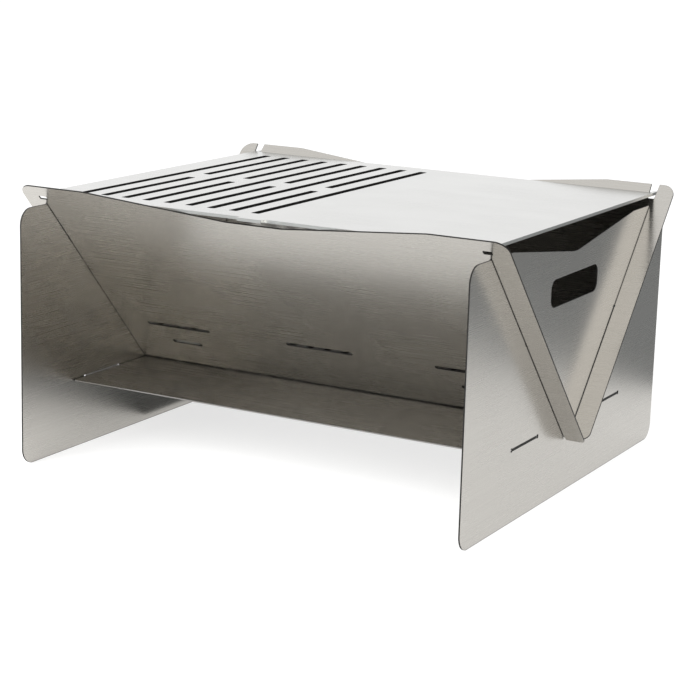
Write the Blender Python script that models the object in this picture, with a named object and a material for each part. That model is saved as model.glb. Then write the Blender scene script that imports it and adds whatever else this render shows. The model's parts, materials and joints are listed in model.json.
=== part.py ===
"""Flat-pack fire bowl: seven laser-cut stainless sheets that slot together without fasteners.

Two upright end panels carry a level ash shelf on tabs. Two side panels lean outwards in a V and
cross the end panels in half-lap slots, which follow the lean. A perforated grate lies low in the
V on four tabs, and a half grill, half griddle plate is wedged between the leaning sides.

X runs along the bowl, -Y is the front and Z is up. The origin is the middle of the footprint.
"""

import math

import bpy
from mathutils import Matrix

# Stock, in metres
SHEET = 0.0015            # all upright sheets, the shelf and the grate
PLATE = 0.003             # cooking plate
GAP = 0.0003              # clearance where two sheets touch or one passes through the other
ARC_STEP = math.radians(15)

# The V of the side panels, seen along X
LEAN = math.radians(42.3)         # from upright
VERTEX_Z = 0.0485                 # where the two inner faces would meet
SIN_LEAN = math.sin(LEAN)
COS_LEAN = math.cos(LEAN)

# End panels
END_X = 0.240                     # outer face, from the middle of the bowl
END_HALF_WIDTH = 0.232
END_HEIGHT = 0.256
END_CORNER = 0.016
SHOULDER_Y = 0.145                # the top edge falls from here to the middle
SHOULDER_CORNER = 0.006
DIP_Z = 0.236
DIP_CORNER = 0.060
HAND_HOLE = (0.112, 0.0265)       # width and height
HAND_HOLE_Z = 0.2025
HAND_HOLE_CORNER = 0.009

# Side panels. S is the distance up the sheet from the vertex of the V.
SIDE_HALF_LENGTH = 0.261
SIDE_TOP_S = 0.307
SIDE_BOTTOM_S = 0.0334            # between the end panels, just over the shelf
STRIP_BOTTOM_S = 0.0052           # outside the end panels, down to the vertex
STRIP_TOP_CORNER = 0.013
FRONT_STRIP_CORNER = 0.0035       # lower outer corner of the strips
REAR_STRIP_CORNER = 0.0085        # cut back more, to clear the front strips
SADDLE_S = 0.2876                 # flat bottom of the dip in the top edge
SADDLE_HALF_LENGTH = 0.030
SADDLE_TOP_X = 0.185
SADDLE_CORNER = 0.040
LAP_S = 0.158                     # the half-lap slots of both sheets end here
LAP_RELIEF = 0.0017               # radius of the round end of a lap slot
LAP_SEAT = math.sqrt(LAP_RELIEF**2 - (SHEET / 2) ** 2)  # from its centre to where a sheet seats
MOUTH_WIDTH = 0.0015              # flare at the mouth of a side panel's lap slot
MOUTH_HEIGHT = 0.010

# Slots of the side panels
DRAUGHT_SLOT = (0.076, 0.0050)
DRAUGHT_S = 0.0983
DRAUGHT_X = 0.1665
DRAUGHT_RELIEF = 0.0027
GRATE_S = 0.071
GRATE_X = 0.167
GRATE_TAB = 0.028
GRATE_SLOT = (0.036, 0.0050)
GRATE_RELIEF = 0.0028
HOOK_X = 0.2387                   # hook slots at the front, ear notches at the back
HOOK_SLOT = (0.009, 0.0045)
HOOK_S = 0.2911
HOOK_CORNER = 0.001
NOTCH_BOTTOM_S = 0.2890
NOTCH_BOTTOM_WIDTH = 0.0066
NOTCH_TOP_WIDTH = 0.0088

# Ash shelf
SHELF_Z = 0.0704                  # middle of the sheet
SHELF_HALF_DEPTH = 0.150
SHELF_CORNER = 0.003
SHELF_TAB = 0.055
SHELF_TAB_Y = 0.1005
SHELF_SLOT = (0.062, 0.0022)
SHELF_RELIEF = 0.0018

# Fire grate
GRATE_Z = 0.1005
GRATE_END_CLEARANCE = 0.004
TAB_RELIEF = 0.0042               # notch cut into the edge on both sides of a tab
AIR_SLOT = (0.008, 0.062)
AIR_SLOT_COUNT = 22
AIR_SLOT_PITCH = 0.0205
AIR_SLOT_CORNER = 0.0039          # nearly round ends

# Cooking plate
PLATE_TOP_Z = 0.268
PLATE_HALF_LENGTH = 0.2408
PLATE_CORNER = 0.003
EAR_WIDTH = 0.0046
EAR_Y = 0.210
LIP_HALF_LENGTH = 0.013           # small rest in the middle of the front edge
LIP_DEPTH = 0.006
GRILL_SLOT_COUNT = 9
GRILL_SLOT_PITCH = 0.0245
GRILL_LAST_X = -0.0124            # the slot next to the griddle half
GRILL_SLOT_WIDTH = 0.0088
GRILL_HALF_LENGTH = 0.1725
GRILL_SLOT_CORNER = 0.0012
BRIDGE_Y = -0.005                 # every other slot is broken by a bridge
BRIDGE_LENGTH = 0.027

BRUSHED_STEEL = (0.50, 0.485, 0.46, 1.0)
FIRESIDE_STEEL = (0.34, 0.325, 0.305, 1.0)
PLATE_STEEL = (0.74, 0.74, 0.72, 1.0)


def clear_scene():
    for obj in list(bpy.data.objects):
        bpy.data.objects.remove(obj, do_unlink=True)


def make_material(name, colour, roughness):
    material = bpy.data.materials.new(name)
    material.use_nodes = True
    shader = material.node_tree.nodes["Principled BSDF"]
    shader.inputs["Base Color"].default_value = colour
    shader.inputs["Roughness"].default_value = roughness
    shader.inputs["Metallic"].default_value = 1.0
    material.diffuse_color = colour
    return material


def on_side(side, s, depth):
    """(y, z) of a point S up a side panel, at a depth outwards from its inner face."""
    return (side * (s * SIN_LEAN + depth * COS_LEAN), VERTEX_Z + s * COS_LEAN - depth * SIN_LEAN)


def s_at_height(z, depth):
    """How far up a side panel a level line lies, at a depth outwards from its inner face."""
    return (z - VERTEX_Z + depth * SIN_LEAN) / COS_LEAN


def inner_face_y(z):
    return (z - VERTEX_Z) * math.tan(LEAN)


def rounded(corners):
    """A closed outline from (x, y, radius) corners, each turned by an arc of its radius."""
    points = []
    for i, (x, y, radius) in enumerate(corners):
        if radius == 0.0:
            points.append((x, y))
            continue
        before = corners[i - 1]
        after = corners[(i + 1) % len(corners)]
        angle_in = math.atan2(y - before[1], x - before[0])
        angle_out = math.atan2(after[1] - y, after[0] - x)
        turn = math.remainder(angle_out - angle_in, math.tau)
        cut = radius * math.tan(abs(turn) / 2)
        side = math.copysign(math.pi / 2, turn)
        centre_x = x - cut * math.cos(angle_in) + radius * math.cos(angle_in + side)
        centre_y = y - cut * math.sin(angle_in) + radius * math.sin(angle_in + side)
        steps = max(2, math.ceil(abs(turn) / ARC_STEP))
        for step in range(steps + 1):
            angle = angle_in - side + turn * step / steps
            points.append((centre_x + radius * math.cos(angle), centre_y + radius * math.sin(angle)))
    return points


def arc(centre_x, centre_y, radius, start, end):
    steps = math.ceil(abs(end - start) / (2 * ARC_STEP))
    angles = [start + (end - start) * step / steps for step in range(steps + 1)]
    return [(centre_x + radius * math.cos(a), centre_y + radius * math.sin(a)) for a in angles]


def rounded_box(x, y, size, radius):
    half_x, half_y = size[0] / 2, size[1] / 2
    return rounded([
        (x - half_x, y - half_y, radius),
        (x + half_x, y - half_y, radius),
        (x + half_x, y + half_y, radius),
        (x - half_x, y + half_y, radius),
    ])


def relieved_slot(x, y, size, relief):
    """A straight slot whose ends are drilled round, a little wider than the slot itself."""
    reach = size[0] / 2 - relief
    opening = math.asin(min(1.0, size[1] / 2 / relief))
    right = arc(x + reach, y, relief, -math.pi + opening, math.pi - opening)
    left = arc(x - reach, y, relief, opening, math.tau - opening)
    return right + left


def mirrored(half):
    """Both halves of an outline whose right half is given from the middle round to the middle."""
    return half + [(-x, y, radius) for x, y, radius in reversed(half) if x != 0.0]


def cut_sheet(name, outline, holes, thickness, material, location, rotation=(0.0, 0.0, 0.0)):
    """A flat sheet: the outline and its holes as a filled 2D curve, half its thickness each way."""
    curve = bpy.data.curves.new(name, "CURVE")
    curve.dimensions = "2D"
    curve.fill_mode = "BOTH"
    curve.extrude = thickness / 2
    for points in [outline] + holes:
        spline = curve.splines.new("POLY")
        spline.points.add(len(points) - 1)
        for point, (x, y) in zip(spline.points, points):
            point.co = (x, y, 0.0, 1.0)
        spline.use_cyclic_u = True
    curve.materials.append(material)
    obj = bpy.data.objects.new(name, curve)
    obj.location = location
    obj.rotation_euler = rotation
    parts.objects.link(obj)
    return obj


def end_panel_half(relief_steps=6):
    """Right half of an end panel's outline, with the lap slot of the side panel cut into it."""
    near, far = -GAP, SHEET + GAP
    slot_outer_top = on_side(1, s_at_height(END_HEIGHT, far), far)
    slot_inner_top = on_side(1, s_at_height(END_HEIGHT, near), near)
    middle = SHEET / 2
    opening = math.asin((far - near) / 2 / LAP_RELIEF)
    sweep = math.tau - 2 * opening
    relief = []
    for step in range(relief_steps + 1):
        angle = opening + sweep * step / relief_steps
        s = LAP_S + LAP_SEAT + LAP_RELIEF * math.cos(angle)
        relief.append(on_side(1, s, middle + LAP_RELIEF * math.sin(angle)) + (0.0,))
    return [
        (END_HALF_WIDTH, 0.0, END_CORNER),
        (END_HALF_WIDTH, END_HEIGHT, END_CORNER),
        slot_outer_top + (0.0,),
        *relief,
        slot_inner_top + (0.0,),
        (SHOULDER_Y, END_HEIGHT, SHOULDER_CORNER),
        (0.0, DIP_Z, DIP_CORNER),
    ]


def make_end_panel(name, side, material):
    holes = [
        rounded_box(0.0, HAND_HOLE_Z, HAND_HOLE, HAND_HOLE_CORNER),
        relieved_slot(SHELF_TAB_Y, SHELF_Z, SHELF_SLOT, SHELF_RELIEF),
        relieved_slot(-SHELF_TAB_Y, SHELF_Z, SHELF_SLOT, SHELF_RELIEF),
    ]
    # The outline is drawn with Y across and Z up, so it is stood up by this turn.
    stand = Matrix(((0, 0, 1), (1, 0, 0), (0, 1, 0))).to_euler()
    place = (side * (END_X - SHEET / 2), 0.0, 0.0)
    cut_sheet(name, rounded(mirrored(end_panel_half())), holes, SHEET, material, place, stand)


def side_panel_half(notched, relief_steps=6):
    """Right half of a side panel's outline, from the bottom middle round to the top middle."""
    slot_middle = END_X - SHEET / 2
    slot_half = SHEET / 2 + GAP
    opening = math.asin(slot_half / LAP_RELIEF)
    sweep = math.tau - 2 * opening
    strip_corner = REAR_STRIP_CORNER if notched else FRONT_STRIP_CORNER
    relief = []
    for step in range(relief_steps + 1):
        angle = -math.pi / 2 - opening - sweep * step / relief_steps
        x = slot_middle + LAP_RELIEF * math.cos(angle)
        relief.append((x, LAP_S + GAP - LAP_SEAT + LAP_RELIEF * math.sin(angle), 0.0))
    half = [
        (slot_middle - slot_half, SIDE_BOTTOM_S, 0.0),
        *relief,
        (slot_middle + slot_half, STRIP_BOTTOM_S + MOUTH_HEIGHT, 0.0),
        (slot_middle + slot_half + MOUTH_WIDTH, STRIP_BOTTOM_S, 0.0),
        (SIDE_HALF_LENGTH, STRIP_BOTTOM_S, strip_corner),
        (SIDE_HALF_LENGTH, SIDE_TOP_S, STRIP_TOP_CORNER),
    ]
    if notched:
        half += [
            (HOOK_X + NOTCH_TOP_WIDTH / 2, SIDE_TOP_S, 0.0),
            (HOOK_X + NOTCH_BOTTOM_WIDTH / 2, NOTCH_BOTTOM_S, HOOK_CORNER),
            (HOOK_X - NOTCH_BOTTOM_WIDTH / 2, NOTCH_BOTTOM_S, HOOK_CORNER),
            (HOOK_X - NOTCH_TOP_WIDTH / 2, SIDE_TOP_S, 0.0),
        ]
    half += [
        (SADDLE_TOP_X, SIDE_TOP_S, SADDLE_CORNER),
        (SADDLE_HALF_LENGTH, SADDLE_S, SADDLE_CORNER),
    ]
    return half


def make_side_panel(name, side, notched, material):
    holes = [relieved_slot(x, DRAUGHT_S, DRAUGHT_SLOT, DRAUGHT_RELIEF)
             for x in (-DRAUGHT_X, 0.0, DRAUGHT_X)]
    holes += [relieved_slot(x, GRATE_S, GRATE_SLOT, GRATE_RELIEF) for x in (-GRATE_X, GRATE_X)]
    if not notched:
        holes += [rounded_box(x, HOOK_S, HOOK_SLOT, HOOK_CORNER) for x in (-HOOK_X, HOOK_X)]
    # The sheet's own up direction leans outwards, and its middle lies half a sheet outside the V.
    tilt = math.pi / 2 - side * LEAN
    y, z = on_side(side, 0.0, SHEET / 2)
    cut_sheet(name, rounded(mirrored(side_panel_half(notched))), holes, SHEET, material,
              (0.0, y, z), (tilt, 0.0, 0.0))


def make_ash_shelf(material):
    body_x = END_X - SHEET - GAP
    tab_near = SHELF_TAB_Y - SHELF_TAB / 2
    tab_far = SHELF_TAB_Y + SHELF_TAB / 2
    quarter = [
        (END_X, tab_near, 0.0),
        (END_X, tab_far, 0.0),
        (body_x, tab_far, 0.0),
        (body_x, SHELF_HALF_DEPTH, SHELF_CORNER),
    ]
    right = [(x, -y, r) for x, y, r in reversed(quarter)]
    right += [(body_x, -tab_near, 0.0), (body_x, tab_near, 0.0)] + quarter
    cut_sheet("ash_shelf", rounded(mirrored(right)), [], SHEET, material, (0.0, 0.0, SHELF_Z))


def make_fire_grate(material):
    lower_face = GRATE_Z - SHEET / 2
    half_width = inner_face_y(lower_face) - GAP / COS_LEAN
    tab_y, _ = on_side(1, s_at_height(lower_face, SHEET), SHEET)
    body_x = END_X - SHEET - GRATE_END_CLEARANCE
    tab_left = GRATE_X - GRATE_TAB / 2
    tab_right = GRATE_X + GRATE_TAB / 2
    root_y = half_width - TAB_RELIEF
    upper = [
        (body_x, half_width, SHELF_CORNER),
        (tab_right + TAB_RELIEF, half_width, 0.0),
        (tab_right + TAB_RELIEF, root_y, 0.0),
        (tab_right, root_y, 0.0),
        (tab_right, tab_y, 0.0),
        (tab_left, tab_y, 0.0),
        (tab_left, root_y, 0.0),
        (tab_left - TAB_RELIEF, root_y, 0.0),
        (tab_left - TAB_RELIEF, half_width, 0.0),
    ]
    right = [(x, -y, r) for x, y, r in reversed(upper)] + upper
    first = -(AIR_SLOT_COUNT - 1) / 2 * AIR_SLOT_PITCH
    holes = [rounded_box(first + i * AIR_SLOT_PITCH, 0.0, AIR_SLOT, AIR_SLOT_CORNER)
             for i in range(AIR_SLOT_COUNT)]
    cut_sheet("fire_grate", rounded(mirrored(right)), holes, SHEET, material, (0.0, 0.0, GRATE_Z))


def make_cooking_plate(material):
    half_depth = inner_face_y(PLATE_TOP_Z - PLATE) - GAP / COS_LEAN
    ear_x = PLATE_HALF_LENGTH - EAR_WIDTH
    right = [
        (LIP_HALF_LENGTH, -half_depth - LIP_DEPTH, 0.0),
        (LIP_HALF_LENGTH, -half_depth, 0.0),
        (PLATE_HALF_LENGTH, -half_depth, PLATE_CORNER),
        (PLATE_HALF_LENGTH, EAR_Y, 0.0),
        (ear_x, EAR_Y, 0.0),
        (ear_x, half_depth, 0.0),
    ]
    holes = []
    for i in range(GRILL_SLOT_COUNT):
        x = GRILL_LAST_X - i * GRILL_SLOT_PITCH
        spans = [(-GRILL_HALF_LENGTH, GRILL_HALF_LENGTH)]
        if i % 2 == 1:
            spans = [
                (-GRILL_HALF_LENGTH, BRIDGE_Y - BRIDGE_LENGTH / 2),
                (BRIDGE_Y + BRIDGE_LENGTH / 2, GRILL_HALF_LENGTH),
            ]
        for low, high in spans:
            size = (GRILL_SLOT_WIDTH, high - low)
            holes.append(rounded_box(x, (low + high) / 2, size, GRILL_SLOT_CORNER))
    cut_sheet("cooking_plate", rounded(mirrored(right)), holes, PLATE, material,
              (0.0, 0.0, PLATE_TOP_Z - PLATE / 2))


clear_scene()
parts = bpy.data.collections.new("fire_bowl")
bpy.context.scene.collection.children.link(parts)
outer_steel = make_material("brushed_steel", BRUSHED_STEEL, 0.38)
fireside_steel = make_material("fireside_steel", FIRESIDE_STEEL, 0.45)
plate_steel = make_material("plate_steel", PLATE_STEEL, 0.32)

make_end_panel("left_end_panel", -1, outer_steel)
make_end_panel("right_end_panel", 1, outer_steel)
make_side_panel("front_side_panel", -1, False, outer_steel)
make_side_panel("rear_side_panel", 1, True, outer_steel)
make_ash_shelf(outer_steel)
make_fire_grate(fireside_steel)
make_cooking_plate(plate_steel)
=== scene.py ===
"""The look of a flat-pack fire bowl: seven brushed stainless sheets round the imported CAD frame."""

import json
import math

import bpy
from mathutils import Matrix, Vector


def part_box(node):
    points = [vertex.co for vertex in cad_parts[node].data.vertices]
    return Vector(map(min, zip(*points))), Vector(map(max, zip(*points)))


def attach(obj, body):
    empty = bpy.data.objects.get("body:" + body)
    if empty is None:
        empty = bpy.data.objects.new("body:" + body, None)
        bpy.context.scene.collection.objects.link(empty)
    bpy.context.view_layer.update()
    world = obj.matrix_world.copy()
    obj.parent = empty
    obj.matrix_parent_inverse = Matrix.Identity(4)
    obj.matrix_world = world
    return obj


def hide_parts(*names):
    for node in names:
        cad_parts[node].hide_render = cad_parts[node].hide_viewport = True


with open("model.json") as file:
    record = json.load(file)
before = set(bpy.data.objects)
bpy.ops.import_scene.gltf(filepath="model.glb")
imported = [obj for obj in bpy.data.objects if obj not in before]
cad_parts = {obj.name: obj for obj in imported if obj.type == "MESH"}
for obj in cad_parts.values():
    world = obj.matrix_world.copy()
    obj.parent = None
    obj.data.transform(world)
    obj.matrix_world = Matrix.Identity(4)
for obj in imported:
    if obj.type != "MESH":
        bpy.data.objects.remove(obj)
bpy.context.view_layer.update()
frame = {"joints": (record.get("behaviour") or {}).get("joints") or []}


# The end panels: two upright sheets of brushed stainless, laser-cut to one outline. Each has a
# dipped top edge, a hand hole, two leaning lap slots for the side panels and two tab slots for the
# shelf. Nothing is bent or welded: the sheets stand on their lower edges.
end_low, end_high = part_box("right_end_panel")
SHEET = end_high.x - end_low.x
GAP = 0.0003                      # clearance round every sheet in its slot
ARC_STEP = math.radians(6)
SLOT_ARC_STEP = 3 * ARC_STEP      # for the small drilled ends of the slots
ARRIS = 0.0003                    # the cut edges are tumbled, which leaves this round on them

# The V of the side panels: S is the distance up a side panel from the vertex of the V.
front_slide = next(joint for joint in frame["joints"] if joint["name"] == "front_side_slide")
SIN_LEAN, COS_LEAN = -front_slide["axis"][1], front_slide["axis"][2]
front_low, front_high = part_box("front_side_panel")
SIDE_TOP_S = (-front_low.y - SHEET * COS_LEAN) / SIN_LEAN
VERTEX_Z = front_high.z - SIDE_TOP_S * COS_LEAN

END_CORNER = 0.016
SHOULDER_Y = 0.145                # the top edge falls from here to the middle
SHOULDER_CORNER = 0.006
DIP_Z = 0.236
DIP_CORNER = 0.060
HAND_HOLE = (0.112, 0.0265)
HAND_HOLE_Z = 0.2025
HAND_HOLE_CORNER = 0.009
LAP_S = 0.158                     # the lap slots of both sheets end here
LAP_RELIEF = 0.0017               # radius of the drilled end of a lap slot
LAP_SEAT = math.sqrt(LAP_RELIEF**2 - (SHEET / 2) ** 2)  # from its centre to where a sheet seats
SHELF_TAB_Y = 0.1005
SHELF_SLOT = (0.062, 0.0022)
SHELF_RELIEF = 0.0018


def rounded(corners):
    """A closed outline from (x, y, radius) corners, each turned by an arc of its radius."""
    points = []
    for i, (x, y, radius) in enumerate(corners):
        if radius == 0.0:
            points.append((x, y))
            continue
        before = corners[i - 1]
        after = corners[(i + 1) % len(corners)]
        angle_in = math.atan2(y - before[1], x - before[0])
        angle_out = math.atan2(after[1] - y, after[0] - x)
        turn = math.remainder(angle_out - angle_in, math.tau)
        cut = radius * math.tan(abs(turn) / 2)
        side = math.copysign(math.pi / 2, turn)
        centre_x = x - cut * math.cos(angle_in) + radius * math.cos(angle_in + side)
        centre_y = y - cut * math.sin(angle_in) + radius * math.sin(angle_in + side)
        steps = max(3, math.ceil(abs(turn) / ARC_STEP))
        for step in range(steps + 1):
            angle = angle_in - side + turn * step / steps
            points.append((centre_x + radius * math.cos(angle), centre_y + radius * math.sin(angle)))
    return points


def rounded_box(size, radius):
    half_x, half_y = size[0] / 2, size[1] / 2
    return rounded([
        (-half_x, -half_y, radius),
        (half_x, -half_y, radius),
        (half_x, half_y, radius),
        (-half_x, half_y, radius),
    ])


def drilled_end(radius, slot_width, mouth, turn=1):
    """Points round the drilled end of a slot, about its centre, from one side to the other.

    The slot leaves the hole at the angle mouth. turn is 1 to go anticlockwise and -1 clockwise.
    """
    opening = math.asin(slot_width / 2 / radius)
    sweep = math.tau - 2 * opening
    steps = math.ceil(sweep / SLOT_ARC_STEP)
    angles = [mouth + turn * (opening + sweep * step / steps) for step in range(steps + 1)]
    return [(radius * math.cos(angle), radius * math.sin(angle)) for angle in angles]


def relieved_slot(size, relief):
    """A straight slot that ends in drilled holes, a little wider than the slot itself."""
    reach = size[0] / 2 - relief
    right = [(reach + x, y) for x, y in drilled_end(relief, size[1], -math.pi)]
    left = [(x - reach, y) for x, y in drilled_end(relief, size[1], 0.0)]
    return right + left


def mirrored(half):
    """Both halves of an outline whose right half is given from the middle round to the middle."""
    return half + [(-x, y, radius) for x, y, radius in reversed(half) if x != 0.0]


def on_side(side, s, depth):
    """(y, z) of a point S up a side panel, at a depth outwards from its inner face."""
    return (side * (s * SIN_LEAN + depth * COS_LEAN), VERTEX_Z + s * COS_LEAN - depth * SIN_LEAN)


def s_at_height(z, depth):
    return (z - VERTEX_Z + depth * SIN_LEAN) / COS_LEAN


def end_panel_half():
    """Right half of an end panel's outline, with the lap slot of the side panel cut into it."""
    near, far = -GAP, SHEET + GAP
    relief = [on_side(1, LAP_S + LAP_SEAT + s, SHEET / 2 + depth) + (0.0,)
              for s, depth in drilled_end(LAP_RELIEF, far - near, 0.0)]
    return [
        (end_high.y, 0.0, END_CORNER),
        (end_high.y, end_high.z, END_CORNER),
        on_side(1, s_at_height(end_high.z, far), far) + (0.0,),
        *relief,
        on_side(1, s_at_height(end_high.z, near), near) + (0.0,),
        (SHOULDER_Y, end_high.z, SHOULDER_CORNER),
        (0.0, DIP_Z, DIP_CORNER),
    ]


def outline_curve(name, points):
    """A closed flat curve, the drawing that a sheet or one of its slots is cut to."""
    curve = bpy.data.curves.new(name, "CURVE")
    curve.dimensions = "2D"
    curve.fill_mode = "NONE"
    spline = curve.splines.new("POLY")
    spline.points.add(len(points) - 1)
    for point, (x, y) in zip(spline.points, points):
        point.co = (x, y, 0.0, 1.0)
    spline.use_cyclic_u = True
    drawing = bpy.data.objects.new(name, curve)
    bpy.context.scene.collection.objects.link(drawing)
    return drawing


def add_socket(tree, name, kind, in_out="INPUT"):
    tree.interface.new_socket(name, in_out=in_out, socket_type="NodeSocket" + kind)


def grow_slot_row():
    """Geometry Nodes: adds a row of like slots to the drawing of a sheet."""
    tree = bpy.data.node_groups.new("slot row", "GeometryNodeTree")
    for name, kind in (("Drawing", "Geometry"), ("Slot", "Object"), ("Count", "Int"),
                       ("First", "Vector"), ("Step", "Vector"), ("Steel", "Material")):
        add_socket(tree, name, kind)
    add_socket(tree, "Drawing", "Geometry", "OUTPUT")
    make, link = tree.nodes.new, tree.links.new
    given = make("NodeGroupInput")
    line = make("GeometryNodeMeshLine")
    link(given.outputs["Count"], line.inputs["Count"])
    link(given.outputs["First"], line.inputs["Start Location"])
    link(given.outputs["Step"], line.inputs["Offset"])
    slot = make("GeometryNodeObjectInfo")
    link(given.outputs["Slot"], slot.inputs["Object"])
    place = make("GeometryNodeInstanceOnPoints")
    link(line.outputs["Mesh"], place.inputs["Points"])
    link(slot.outputs["Geometry"], place.inputs["Instance"])
    join = make("GeometryNodeJoinGeometry")
    link(given.outputs["Drawing"], join.inputs["Geometry"])
    link(place.outputs["Instances"], join.inputs["Geometry"])
    real = make("GeometryNodeRealizeInstances")
    link(join.outputs["Geometry"], real.inputs["Geometry"])
    steel = make("GeometryNodeSetMaterial")
    link(real.outputs["Geometry"], steel.inputs["Geometry"])
    link(given.outputs["Steel"], steel.inputs["Material"])
    result = make("NodeGroupOutput")
    link(steel.outputs["Geometry"], result.inputs["Drawing"])
    return tree


def grow_cut_sheet():
    """Geometry Nodes: fills a drawing, slots left open, and gives it the sheet's thickness.

    The drawing's own x and y are kept as the UV map "sheet", in metres, for the grain.
    """
    tree = bpy.data.node_groups.new("cut sheet", "GeometryNodeTree")
    for name, kind in (("Drawing", "Geometry"), ("Thickness", "Float"),
                       ("Steel", "Material"), ("Cut edge", "Material")):
        add_socket(tree, name, kind)
    add_socket(tree, "Sheet", "Geometry", "OUTPUT")
    make, link = tree.nodes.new, tree.links.new
    given = make("NodeGroupInput")
    fill = make("GeometryNodeFillCurve")
    fill.mode = "NGONS"
    link(given.outputs["Drawing"], fill.inputs["Curve"])
    half = make("ShaderNodeMath")
    half.operation = "MULTIPLY"
    half.inputs[1].default_value = -0.5
    link(given.outputs["Thickness"], half.inputs[0])
    down = make("ShaderNodeCombineXYZ")
    link(half.outputs["Value"], down.inputs["Z"])
    lower = make("GeometryNodeTransform")
    link(fill.outputs["Mesh"], lower.inputs["Geometry"])
    link(down.outputs["Vector"], lower.inputs["Translation"])
    plain = make("GeometryNodeSetMaterial")
    link(lower.outputs["Geometry"], plain.inputs["Geometry"])
    link(given.outputs["Steel"], plain.inputs["Material"])
    thicken = make("GeometryNodeExtrudeMesh")
    thicken.inputs["Individual"].default_value = False
    link(plain.outputs["Geometry"], thicken.inputs["Mesh"])
    link(given.outputs["Thickness"], thicken.inputs["Offset Scale"])
    edge = make("GeometryNodeSetMaterial")
    link(thicken.outputs["Mesh"], edge.inputs["Geometry"])
    link(thicken.outputs["Side"], edge.inputs["Selection"])
    link(given.outputs["Cut edge"], edge.inputs["Material"])
    turn = make("GeometryNodeFlipFaces")
    link(plain.outputs["Geometry"], turn.inputs["Mesh"])
    join = make("GeometryNodeJoinGeometry")
    link(edge.outputs["Geometry"], join.inputs["Geometry"])
    link(turn.outputs["Mesh"], join.inputs["Geometry"])
    merge = make("GeometryNodeMergeByDistance")
    merge.inputs["Distance"].default_value = 0.00001
    link(join.outputs["Geometry"], merge.inputs["Geometry"])
    place = make("GeometryNodeInputPosition")
    grain = make("GeometryNodeStoreNamedAttribute")
    grain.data_type = "FLOAT2"
    grain.domain = "CORNER"
    grain.inputs["Name"].default_value = "sheet"
    link(merge.outputs["Geometry"], grain.inputs["Geometry"])
    link(place.outputs["Position"], grain.inputs["Value"])
    real = make("GeometryNodeRealizeInstances")
    link(grain.outputs["Geometry"], real.inputs["Geometry"])
    sheet = make("GeometryNodeSetMaterial")
    sheet.inputs["Selection"].default_value = False
    link(real.outputs["Geometry"], sheet.inputs["Geometry"])
    link(given.outputs["Steel"], sheet.inputs["Material"])
    result = make("NodeGroupOutput")
    link(sheet.outputs["Geometry"], result.inputs["Sheet"])
    return tree


def grow(drawing, tree, **inputs):
    """Puts a tree on a drawing, its inputs set by their identifiers."""
    modifier = drawing.modifiers.new(tree.name, "NODES")
    modifier.node_group = tree
    named = {item.name: item.identifier for item in tree.interface.items_tree
             if item.item_type == "SOCKET" and item.in_out == "INPUT"}
    for name, value in inputs.items():
        modifier[named[name.replace("_", " ")]] = value


def cut_sheet(name, outline, slot_rows, thickness, place, steel, cut_edge):
    """A finished sheet: slot_rows are (points, count, first, step), place is its world matrix."""
    drawing = outline_curve(name + " drawing", outline)
    drawings = [drawing]
    for points, count, first, step in slot_rows:
        slot = outline_curve(name + " slot", points)
        drawings.append(slot)
        grow(drawing, slot_row, Slot=slot, Count=count, First=first + (0.0,), Step=step + (0.0,),
             Steel=steel)
    grow(drawing, cut_sheet_tree, Thickness=thickness, Steel=steel, Cut_edge=cut_edge)
    bpy.context.view_layer.update()
    evaluated = drawing.evaluated_get(bpy.context.evaluated_depsgraph_get())
    mesh = bpy.data.meshes.new_from_object(evaluated)
    mesh.name = name
    for used in drawings:
        bpy.data.objects.remove(used, do_unlink=True)
    mesh.transform(place)
    mesh.materials.append(arris_steel)
    mesh.shade_smooth()
    mesh.set_sharp_from_angle(angle=math.radians(30))
    sheet = bpy.data.objects.new(name, mesh)
    bpy.context.scene.collection.objects.link(sheet)
    arris = sheet.modifiers.new("arris", "BEVEL")
    arris.width = ARRIS
    arris.segments = 2
    arris.limit_method = "ANGLE"
    arris.angle_limit = math.radians(60)
    arris.harden_normals = True
    arris.material = len(mesh.materials) - 1
    return sheet


def refinish(sheet, steel, chosen):
    """Gives another steel to those faces of a sheet for which chosen is true."""
    sheet.data.materials.append(steel)
    for face in sheet.data.polygons:
        if chosen(face):
            face.material_index = len(sheet.data.materials) - 1


# Marks of the brush and the mill, as length along the grain and width across it.
HAIRLINE = (0.120, 0.0004)
STREAK = (0.900, 0.0024)
SMUDGE = (0.080, 0.060)
SCRATCHES_PER_METRE = (9.0, 260.0)
SCRATCH_SLANT = math.radians(12)
GRAIN_TONES = (0.97, 1.025)       # the grain's darkest and lightest lines, to the steel's colour
GRAIN_POLISH = (0.95, 1.03)       # its smoothest and roughest, to the steel's roughness
BRUSH_DEPTH = 0.00001
BRUSH_RELIEF = 0.022
JOINT_SHADE_REACH = 0.0014              # painted shade reaches this far out from where two sheets meet


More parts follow.
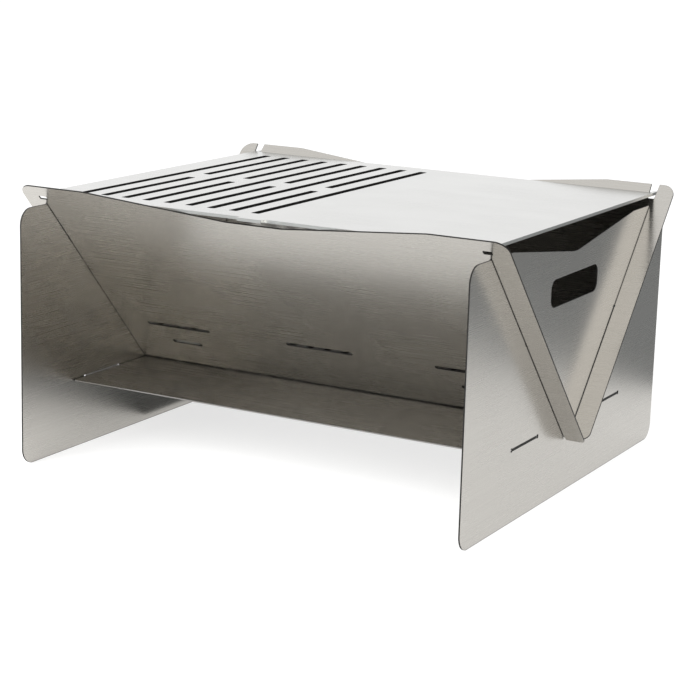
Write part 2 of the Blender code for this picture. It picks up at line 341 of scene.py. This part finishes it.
def brushed_steel(name, colour, roughness, scratches=0.0):
    """Brushed stainless whose grain runs along U of the map "sheet", with faint mill marks."""
    material = bpy.data.materials.new(name)
    material.use_nodes = True
    nodes, link = material.node_tree.nodes, material.node_tree.links.new
    shader = nodes["Principled BSDF"]
    shader.inputs["Metallic"].default_value = 1.0
    shader.inputs["Anisotropic"].default_value = 0.55
    shader.inputs["Anisotropic Rotation"].default_value = 0.25

    drawn = nodes.new("ShaderNodeUVMap")
    drawn.uv_map = "sheet"
    along = nodes.new("ShaderNodeTangent")
    along.direction_type = "UV_MAP"
    along.uv_map = "sheet"
    link(along.outputs["Tangent"], shader.inputs["Tangent"])

    def stretched(mark, detail):
        """Noise drawn out along the grain to the size of a mark."""
        length, width = mark
        scale = nodes.new("ShaderNodeMapping")
        scale.inputs["Scale"].default_value = (1 / length, 1 / width, 1.0)
        link(drawn.outputs["UV"], scale.inputs["Vector"])
        noise = nodes.new("ShaderNodeTexNoise")
        noise.noise_dimensions = "2D"
        noise.inputs["Scale"].default_value = 1.0
        noise.inputs["Detail"].default_value = detail
        link(scale.outputs["Vector"], noise.inputs["Vector"])
        return noise.outputs["Fac"]

    def spread(value, low, high, from_low=0.3, from_high=0.7):
        reach = nodes.new("ShaderNodeMapRange")
        reach.inputs["From Min"].default_value = from_low
        reach.inputs["From Max"].default_value = from_high
        reach.inputs["To Min"].default_value = low
        reach.inputs["To Max"].default_value = high
        link(value, reach.inputs["Value"])
        return reach.outputs["Result"]

    def add(one, other):
        total = nodes.new("ShaderNodeMath")
        total.operation = "ADD"
        link(one, total.inputs[0])
        link(other, total.inputs[1])
        return total.outputs["Value"]

    hairline = stretched(HAIRLINE, 2.0)
    streak = stretched(STREAK, 1.0)
    smudge = stretched(SMUDGE, 1.0)

    tone = nodes.new("ShaderNodeMix")
    tone.data_type = "RGBA"
    for socket, factor in zip("AB", GRAIN_TONES):
        tone.inputs[socket].default_value = tuple(c * factor for c in colour) + (1.0,)
    mixed = add(spread(streak, 0.0, 0.55), spread(hairline, 0.0, 0.45))
    link(mixed, tone.inputs["Factor"])

    # Painted shade: the steel's colour is darkened in the joints, where one sheet closes off the
    # light from the other.
    crease = nodes.new("ShaderNodeAmbientOcclusion")
    crease.samples = 8
    crease.inputs["Distance"].default_value = JOINT_SHADE_REACH
    joint_shade = nodes.new("ShaderNodeMix")
    joint_shade.data_type = "RGBA"
    joint_shade.inputs["A"].default_value = (0.02, 0.02, 0.02, 1.0)
    link(tone.outputs["Result"], joint_shade.inputs["B"])
    link(spread(crease.outputs["AO"], 0.0, 1.0, 0.5, 0.95), joint_shade.inputs["Factor"])
    link(joint_shade.outputs["Result"], shader.inputs["Base Color"])

    smoothest, roughest = (roughness * factor for factor in GRAIN_POLISH)
    polish = add(spread(hairline, smoothest, roughest), spread(smudge, -0.008, 0.012))
    link(polish, shader.inputs["Roughness"])

    relief = nodes.new("ShaderNodeBump")
    relief.inputs["Strength"].default_value = BRUSH_RELIEF
    relief.inputs["Distance"].default_value = BRUSH_DEPTH
    link(add(hairline, spread(streak, 0.0, 0.6)), relief.inputs["Height"])
    last_normal = relief.outputs["Normal"]

    if scratches:
        scale = nodes.new("ShaderNodeMapping")
        scale.inputs["Rotation"].default_value = (0.0, 0.0, SCRATCH_SLANT)
        scale.inputs["Scale"].default_value = SCRATCHES_PER_METRE + (1.0,)
        link(drawn.outputs["UV"], scale.inputs["Vector"])
        cells = nodes.new("ShaderNodeTexVoronoi")
        cells.voronoi_dimensions = "2D"
        cells.feature = "DISTANCE_TO_EDGE"
        cells.inputs["Scale"].default_value = 1.0
        link(scale.outputs["Vector"], cells.inputs["Vector"])
        groove = nodes.new("ShaderNodeBump")
        groove.inputs["Strength"].default_value = scratches
        groove.inputs["Distance"].default_value = BRUSH_DEPTH
        link(spread(cells.outputs["Distance"], 0.0, 1.0, 0.0, 0.03), groove.inputs["Height"])
        link(last_normal, groove.inputs["Normal"])
        last_normal = groove.outputs["Normal"]
    link(last_normal, shader.inputs["Normal"])
    return material


# The striations that a laser or a mill leaves on an edge.
STRIATIONS_PER_METRE = 3500.0
STRIATION_DEPTH = 0.00003


def cut_steel(name, colour, roughness):
    """A bare edge with fine striations square to the sheet."""
    material = bpy.data.materials.new(name)
    material.use_nodes = True
    nodes, link = material.node_tree.nodes, material.node_tree.links.new
    shader = nodes["Principled BSDF"]
    shader.inputs["Metallic"].default_value = 1.0
    shader.inputs["Base Color"].default_value = colour + (1.0,)
    drawn = nodes.new("ShaderNodeUVMap")
    drawn.uv_map = "sheet"
    marks = nodes.new("ShaderNodeTexNoise")
    marks.noise_dimensions = "2D"
    marks.inputs["Scale"].default_value = STRIATIONS_PER_METRE
    marks.inputs["Detail"].default_value = 1.0
    link(drawn.outputs["UV"], marks.inputs["Vector"])
    polish = nodes.new("ShaderNodeMapRange")
    polish.inputs["To Min"].default_value = roughness * 0.8
    polish.inputs["To Max"].default_value = roughness * 1.2
    link(marks.outputs["Fac"], polish.inputs["Value"])
    link(polish.outputs["Result"], shader.inputs["Roughness"])
    relief = nodes.new("ShaderNodeBump")
    relief.inputs["Strength"].default_value = 0.5
    relief.inputs["Distance"].default_value = STRIATION_DEPTH
    link(marks.outputs["Fac"], relief.inputs["Height"])
    link(relief.outputs["Normal"], shader.inputs["Normal"])
    return material


slot_row = grow_slot_row()
cut_sheet_tree = grow_cut_sheet()
panel_steel = brushed_steel("brushed panel steel", (0.50, 0.483, 0.452), 0.27)
# The arris is painted near black too, carrying on the dark lines of the cut edges: partly oxide,
# partly painted shade.
arris_steel = cut_steel("tumbled arris", (0.04, 0.039, 0.037), 0.35)

# The laser leaves its cuts under a dull black oxide. The edges are painted near black: partly that
# oxide, partly painted shade for the dark gaps round the tabs and in the slots.
laser_cut_edge = cut_steel("laser-cut edge", (0.010, 0.0095, 0.009), 0.50)
oxide_and_shade = laser_cut_edge.node_tree.nodes["Principled BSDF"]
oxide_and_shade.inputs["Metallic"].default_value = 0.0
oxide_and_shade.inputs["Specular IOR Level"].default_value = 0.15

shelf_low, shelf_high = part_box("ash_shelf")
shelf_z = (shelf_low.z + shelf_high.z) / 2
end_slots = [
    (rounded_box(HAND_HOLE, HAND_HOLE_CORNER), 1, (0.0, HAND_HOLE_Z), (0.0, 0.0)),
    (relieved_slot(SHELF_SLOT, SHELF_RELIEF), 2, (-SHELF_TAB_Y, shelf_z), (2 * SHELF_TAB_Y, 0.0)),
]
for end, side in (("left", -1), ("right", 1)):
    # Drawn with Y across and Z up, then stood up at its end of the bowl.
    stand = Matrix(((0, 0, 1, side * (end_high.x - SHEET / 2)), (1, 0, 0, 0), (0, 1, 0, 0),
                    (0, 0, 0, 1)))
    panel = cut_sheet(end + "_end_sheet", rounded(mirrored(end_panel_half())), end_slots, SHEET,
                      stand, panel_steel, laser_cut_edge)
    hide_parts(end + "_end_panel")
    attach(panel, "stand")


# The side panels: two stainless sheets that lean outwards in a V. Each crosses both end panels in
# half-lap slots, leaving a strip outside them. The front one has a closed slot near each upper
# corner, and the rear one a notch open at the top, where the ears of the cooking plate lie.
SIDE_BOTTOM_S = 0.0334            # between the end panels, just over the shelf
STRIP_BOTTOM_S = 0.0052           # outside them
STRIP_TOP_CORNER = 0.013
FRONT_STRIP_CORNER = 0.0035       # lower outer corner of the strips
REAR_STRIP_CORNER = 0.0085        # cut back more, to clear the front strips
SADDLE_S = 0.2876                 # flat bottom of the dip in the top edge
SADDLE_HALF_LENGTH = 0.030
SADDLE_TOP_X = 0.185
SADDLE_CORNER = 0.040
MOUTH_WIDTH = 0.0015              # flare at the mouth of a lap slot
MOUTH_HEIGHT = 0.010
DRAUGHT_SLOT = (0.076, 0.0050)
DRAUGHT_S = 0.0983
DRAUGHT_X = 0.1665
DRAUGHT_RELIEF = 0.0027
GRATE_S = 0.071
GRATE_X = 0.167
GRATE_SLOT = (0.036, 0.0050)
GRATE_RELIEF = 0.0028
HOOK_X = 0.2387                   # closed slots at the front, ear notches at the back
HOOK_SLOT = (0.009, 0.0045)
HOOK_S = 0.2911
HOOK_CORNER = 0.001
NOTCH_BOTTOM_S = 0.2890
NOTCH_BOTTOM_WIDTH = 0.0066
NOTCH_TOP_WIDTH = 0.0088


def side_panel_half(notched):
    """Right half of a side panel's outline, from the bottom middle round to the top middle."""
    slot_middle = end_high.x - SHEET / 2
    slot_half = SHEET / 2 + GAP
    strip_corner = REAR_STRIP_CORNER if notched else FRONT_STRIP_CORNER
    relief = [(slot_middle + x, LAP_S + GAP - LAP_SEAT + s, 0.0)
              for x, s in drilled_end(LAP_RELIEF, 2 * slot_half, -math.pi / 2, turn=-1)]
    half = [
        (slot_middle - slot_half, SIDE_BOTTOM_S, 0.0),
        *relief,
        (slot_middle + slot_half, STRIP_BOTTOM_S + MOUTH_HEIGHT, 0.0),
        (slot_middle + slot_half + MOUTH_WIDTH, STRIP_BOTTOM_S, 0.0),
        (front_high.x, STRIP_BOTTOM_S, strip_corner),
        (front_high.x, SIDE_TOP_S, STRIP_TOP_CORNER),
    ]
    if notched:
        half += [
            (HOOK_X + NOTCH_TOP_WIDTH / 2, SIDE_TOP_S, 0.0),
            (HOOK_X + NOTCH_BOTTOM_WIDTH / 2, NOTCH_BOTTOM_S, HOOK_CORNER),
            (HOOK_X - NOTCH_BOTTOM_WIDTH / 2, NOTCH_BOTTOM_S, HOOK_CORNER),
            (HOOK_X - NOTCH_TOP_WIDTH / 2, SIDE_TOP_S, 0.0),
        ]
    return half + [
        (SADDLE_TOP_X, SIDE_TOP_S, SADDLE_CORNER),
        (SADDLE_HALF_LENGTH, SADDLE_S, SADDLE_CORNER),
    ]


for end, side in (("front", -1), ("rear", 1)):
    slots = [
        (relieved_slot(DRAUGHT_SLOT, DRAUGHT_RELIEF), 3, (-DRAUGHT_X, DRAUGHT_S), (DRAUGHT_X, 0.0)),
        (relieved_slot(GRATE_SLOT, GRATE_RELIEF), 2, (-GRATE_X, GRATE_S), (2 * GRATE_X, 0.0)),
    ]
    if side < 0:
        slots.append((rounded_box(HOOK_SLOT, HOOK_CORNER), 2, (-HOOK_X, HOOK_S), (2 * HOOK_X, 0.0)))
    # Drawn with X across and S up, then leaned outwards, its inner face on the V.
    y, z = on_side(side, 0.0, SHEET / 2)
    lean = Matrix(((1, 0, 0, 0), (0, side * SIN_LEAN, -COS_LEAN, y),
                   (0, COS_LEAN, side * SIN_LEAN, z), (0, 0, 0, 1)))
    panel = cut_sheet(end + "_side_sheet", rounded(mirrored(side_panel_half(side > 0))), slots,
                      SHEET, lean, panel_steel, laser_cut_edge)
    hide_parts(end + "_side_panel")
    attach(panel, end + "_side")


# The ash shelf: a level stainless sheet under the V, which ties the end panels together. It hangs
# on two tabs at each end, flush with their outer faces. Its two long edges are ground bright.
SHELF_TAB = 0.055
SHELF_CORNER = 0.003

body_x = end_high.x - SHEET - GAP
tab_near, tab_far = SHELF_TAB_Y - SHELF_TAB / 2, SHELF_TAB_Y + SHELF_TAB / 2
quarter = [
    (end_high.x, tab_near, 0.0),
    (end_high.x, tab_far, 0.0),
    (body_x, tab_far, 0.0),
    (body_x, shelf_high.y, SHELF_CORNER),
]
half = [(x, -y, radius) for x, y, radius in reversed(quarter)]
half += [(body_x, -tab_near, 0.0), (body_x, tab_near, 0.0)] + quarter
shelf = cut_sheet("ash_shelf_sheet", rounded(mirrored(half)), [], SHEET,
                  Matrix.Translation((0.0, 0.0, shelf_z)), panel_steel, laser_cut_edge)
ground_edge = cut_steel("ground edge", (0.30, 0.293, 0.28), 0.30)
refinish(shelf, ground_edge,
         lambda face: abs(face.normal.y) > 0.9 and abs(face.center.y) > tab_far)
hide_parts("ash_shelf")
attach(shelf, "stand")


# The fire grate: a level stainless sheet low in the V, with a row of round-ended air slots. Its
# four tabs lie in the lower slots of the side panels.
GRATE_TAB = 0.028
GRATE_END_CLEARANCE = 0.004
TAB_RELIEF = 0.0042               # notch cut into the edge on both sides of a tab
AIR_SLOT = (0.008, 0.062)
AIR_SLOT_CORNER = 0.0039
AIR_SLOT_COUNT = 22
AIR_SLOT_PITCH = 0.0205

grate_low, grate_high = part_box("fire_grate")
half_width = (grate_low.z - VERTEX_Z) * SIN_LEAN / COS_LEAN - GAP / COS_LEAN
tab_left, tab_right = GRATE_X - GRATE_TAB / 2, GRATE_X + GRATE_TAB / 2
root_y = half_width - TAB_RELIEF
quarter = [
    (end_high.x - SHEET - GRATE_END_CLEARANCE, half_width, SHELF_CORNER),
    (tab_right + TAB_RELIEF, half_width, 0.0),
    (tab_right + TAB_RELIEF, root_y, 0.0),
    (tab_right, root_y, 0.0),
    (tab_right, grate_high.y, 0.0),
    (tab_left, grate_high.y, 0.0),
    (tab_left, root_y, 0.0),
    (tab_left - TAB_RELIEF, root_y, 0.0),
    (tab_left - TAB_RELIEF, half_width, 0.0),
]
half = [(x, -y, radius) for x, y, radius in reversed(quarter)] + quarter
air_row = [(rounded_box(AIR_SLOT, AIR_SLOT_CORNER), AIR_SLOT_COUNT,
            (-(AIR_SLOT_COUNT - 1) / 2 * AIR_SLOT_PITCH, 0.0), (AIR_SLOT_PITCH, 0.0))]
# The grate and its cut edges are painted dark: painted shade for the dark inside of the V, under the
# plate.
shaded_grate_steel = brushed_steel("shaded grate steel", (0.15, 0.143, 0.134), 0.50)
grate_edge = cut_steel("grate edge", (0.17, 0.167, 0.157), 0.40)
grate = cut_sheet("fire_grate_sheet", rounded(mirrored(half)), air_row, SHEET,
                  Matrix.Translation((0.0, 0.0, (grate_low.z + grate_high.z) / 2)),
                  shaded_grate_steel, grate_edge)
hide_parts("fire_grate")
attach(grate, "grate")


# The cooking plate: a thicker stainless sheet wedged between the leaning sides. Its left half is a
# grill, every other slot broken by a bridge, and its right half a griddle. Two ears lie in the
# notches of the rear panel, and a small lip in the middle of the front edge.
PLATE_CORNER = 0.003
EAR_WIDTH = 0.0046
LIP_HALF_LENGTH = 0.013
LIP_DEPTH = 0.006
GRILL_SLOT_COUNT = 9
GRILL_SLOT_PITCH = 0.0245
GRILL_LAST_X = -0.0124            # the slot next to the griddle half
GRILL_SLOT_WIDTH = 0.0088
GRILL_HALF_LENGTH = 0.1725
GRILL_SLOT_CORNER = 0.0012
BRIDGE_Y = -0.005
BRIDGE_LENGTH = 0.027

plate_low, plate_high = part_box("cooking_plate")
PLATE = plate_high.z - plate_low.z
half_depth = -plate_low.y - LIP_DEPTH
half = [
    (LIP_HALF_LENGTH, plate_low.y, 0.0),
    (LIP_HALF_LENGTH, -half_depth, 0.0),
    (plate_high.x, -half_depth, PLATE_CORNER),
    (plate_high.x, plate_high.y, 0.0),
    (plate_high.x - EAR_WIDTH, plate_high.y, 0.0),
    (plate_high.x - EAR_WIDTH, half_depth, 0.0),
]
whole_slots = (GRILL_SLOT_COUNT + 1) // 2
broken_slots = GRILL_SLOT_COUNT // 2
broken_x = GRILL_LAST_X - GRILL_SLOT_PITCH
to_next = (-2 * GRILL_SLOT_PITCH, 0.0)
front_end, back_end = BRIDGE_Y - BRIDGE_LENGTH / 2, BRIDGE_Y + BRIDGE_LENGTH / 2
front_length, back_length = front_end + GRILL_HALF_LENGTH, GRILL_HALF_LENGTH - back_end
grill_rows = [
    (rounded_box((GRILL_SLOT_WIDTH, length), GRILL_SLOT_CORNER), count, first, to_next)
    for length, count, first in (
        (2 * GRILL_HALF_LENGTH, whole_slots, (GRILL_LAST_X, 0.0)),
        (front_length, broken_slots, (broken_x, front_end - front_length / 2)),
        (back_length, broken_slots, (broken_x, back_end + back_length / 2)))
]
plate_steel = brushed_steel("plate steel", (0.50, 0.50, 0.49), 0.26, scratches=0.15)
plate = cut_sheet("cooking_plate_sheet", rounded(mirrored(half)), grill_rows, PLATE,
                  Matrix.Translation((0.0, 0.0, (plate_low.z + plate_high.z) / 2)), plate_steel,
                  laser_cut_edge)


def on_plate_rim(face):
    """True for the plate's outer edge, and false for its faces and the walls of its slots."""
    outside = abs(face.center.x) > plate_high.x - EAR_WIDTH or abs(face.center.y) > half_depth - ARRIS
    return outside and abs(face.normal.z) < 0.1


refinish(plate, cut_steel("milled plate edge", (0.55, 0.55, 0.53), 0.35), on_plate_rim)
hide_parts("cooking_plate")
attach(plate, "plate")


# The studio: a plain pale floor without an edge in view, a bright backdrop all round and soft
# lights. Two dark cloths, a painted shadow under the bowl and a low bright card are seen only in
# the steel, and give it its dark and bright reflections. The camera is to the front right with a long
# lens.
FLOOR_SIZE = 80.0
FLOOR_GLOW = 0.68                 # keeps the bowl's shadow on the floor faint
BACKDROP_LIGHT = 1.35
CEILING_LIGHT = 1.14
BACKDROP_TO = 0.1                 # sines of the heights above the horizon where the backdrop ends
CEILING_FROM = 0.65               # and where the ceiling begins
CAMERA_AT = (0.9507, -1.7349, 0.5715)
CAMERA_YAW = math.radians(-28.828)
CAMERA_DOWN = math.radians(13.182)
CAMERA_ROLL = math.radians(1.648)
PHOTO_WIDTH = 696
FOCAL_PIXELS = 1996


def matt_paint(name, colour):
    paint = bpy.data.materials.new(name)
    paint.use_nodes = True
    shader = paint.node_tree.nodes["Principled BSDF"]
    shader.inputs["Base Color"].default_value = colour
    shader.inputs["Roughness"].default_value = 0.9
    return paint


def softbox(name, place, target, size, watts):
    light = bpy.data.lights.new(name, "AREA")
    light.shape = "RECTANGLE"
    light.size, light.size_y = size
    light.energy = watts
    lamp = bpy.data.objects.new(name, light)
    bpy.context.scene.collection.objects.link(lamp)
    lamp.location = place
    aim = Vector(target) - Vector(place)
    lamp.rotation_euler = aim.to_track_quat("-Z", "Y").to_euler()
    lamp.visible_camera = False
    return lamp


bpy.ops.mesh.primitive_plane_add(size=FLOOR_SIZE)
floor = bpy.context.object
floor.name = "floor"
floor_paint = matt_paint("pale floor", (0.30, 0.30, 0.298, 1.0))
floor_shader = floor_paint.node_tree.nodes["Principled BSDF"]
floor_shader.inputs["Emission Color"].default_value = (1.0, 1.0, 1.0, 1.0)
floor_shader.inputs["Emission Strength"].default_value = FLOOR_GLOW
floor.data.materials.append(floor_paint)

# A flag is a dark grey cloth on the floor, given by its (y, z) profile. The front and rear ones
# end in a part that hangs upright. The shadow flag is a painted shadow: a dark sheet where the
# bowl's shadow falls on the floor, seen only in the steel.
for name, tone, profile, left_x, right_x in (
        ("rear_flag", 0.17, ((0.43, 0.002), (4.0, 0.002), (4.0, 1.8)), 0.23, 6.0),
        ("shadow_flag", 0.25, ((-0.01, 0.002), (0.43, 0.002), (0.9, 0.002)), -0.23, 0.23),
        ("front_flag", 0.18, ((-0.9, 0.002), (-3.4, 0.002), (-3.4, 1.1)), -5.0, 5.0)):
    corners = [(x, y, z) for y, z in profile for x in (left_x, right_x)]
    cloth = bpy.data.meshes.new(name)
    cloth.from_pydata(corners, [], [(0, 1, 3, 2), (2, 3, 5, 4)])
    cloth.materials.append(matt_paint(name + " cloth", (0.96 * tone, 1.01 * tone, 1.04 * tone, 1.0)))
    flag = bpy.data.objects.new(name, cloth)
    bpy.context.scene.collection.objects.link(flag)
    flag.visible_camera = flag.visible_diffuse = flag.visible_shadow = False

# The right softbox lights both the floor and the steel, the next two the floor only, and the card
# the steel only. The card is too low to be seen in the top of the plate.
softbox("right_softbox", (1.25, -0.6, 2.0), (0.2, 0.1, 0.1), (1.6, 1.6), 6.0)
front_light = softbox("front_softbox", (1.1, -1.8, 1.2), (-0.1, -0.3, 0.0), (1.6, 1.2), 25.0)
table_light = softbox("table_softbox", (-1.0, -1.7, 1.0), (-0.2, -0.35, 0.0), (1.2, 1.2), 70.0)
front_light.visible_glossy = table_light.visible_glossy = False
low_card = softbox("low_card", (0.9, -1.9, 0.14), (0.0, 0.0, 0.14), (2.4, 0.25), 16.0)
low_card.visible_diffuse = False

world = bpy.data.worlds.new("studio")
world.use_nodes = True
nodes, link = world.node_tree.nodes, world.node_tree.links.new
sky_way = nodes.new("ShaderNodeTexCoord")
height = nodes.new("ShaderNodeSeparateXYZ")
link(sky_way.outputs["Generated"], height.inputs["Vector"])
brightness = nodes.new("ShaderNodeMapRange")
brightness.interpolation_type = "SMOOTHSTEP"
brightness.inputs["From Min"].default_value = BACKDROP_TO
brightness.inputs["From Max"].default_value = CEILING_FROM
brightness.inputs["To Min"].default_value = BACKDROP_LIGHT
brightness.inputs["To Max"].default_value = CEILING_LIGHT
link(height.outputs["Z"], brightness.inputs["Value"])
nodes["Background"].inputs["Color"].default_value = (1.0, 1.0, 1.0, 1.0)
link(brightness.outputs["Result"], nodes["Background"].inputs["Strength"])
bpy.context.scene.world = world

forward = Vector((math.cos(CAMERA_DOWN) * math.sin(CAMERA_YAW),
                  math.cos(CAMERA_DOWN) * math.cos(CAMERA_YAW), -math.sin(CAMERA_DOWN)))
level = Vector((math.cos(CAMERA_YAW), -math.sin(CAMERA_YAW), 0.0))
upright = level.cross(forward)
right = math.cos(CAMERA_ROLL) * level + math.sin(CAMERA_ROLL) * upright
up = math.cos(CAMERA_ROLL) * upright - math.sin(CAMERA_ROLL) * level
camera = bpy.data.objects.new("camera", bpy.data.cameras.new("camera"))
bpy.context.scene.collection.objects.link(camera)
camera.data.sensor_width = 36.0
camera.data.lens = camera.data.sensor_width * FOCAL_PIXELS / PHOTO_WIDTH
camera.matrix_world = Matrix((
    (right.x, up.x, -forward.x, CAMERA_AT[0]),
    (right.y, up.y, -forward.y, CAMERA_AT[1]),
    (right.z, up.z, -forward.z, CAMERA_AT[2]),
    (0.0, 0.0, 0.0, 1.0),
))
bpy.context.scene.camera = camera
bpy.context.scene.view_settings.view_transform = "Standard"
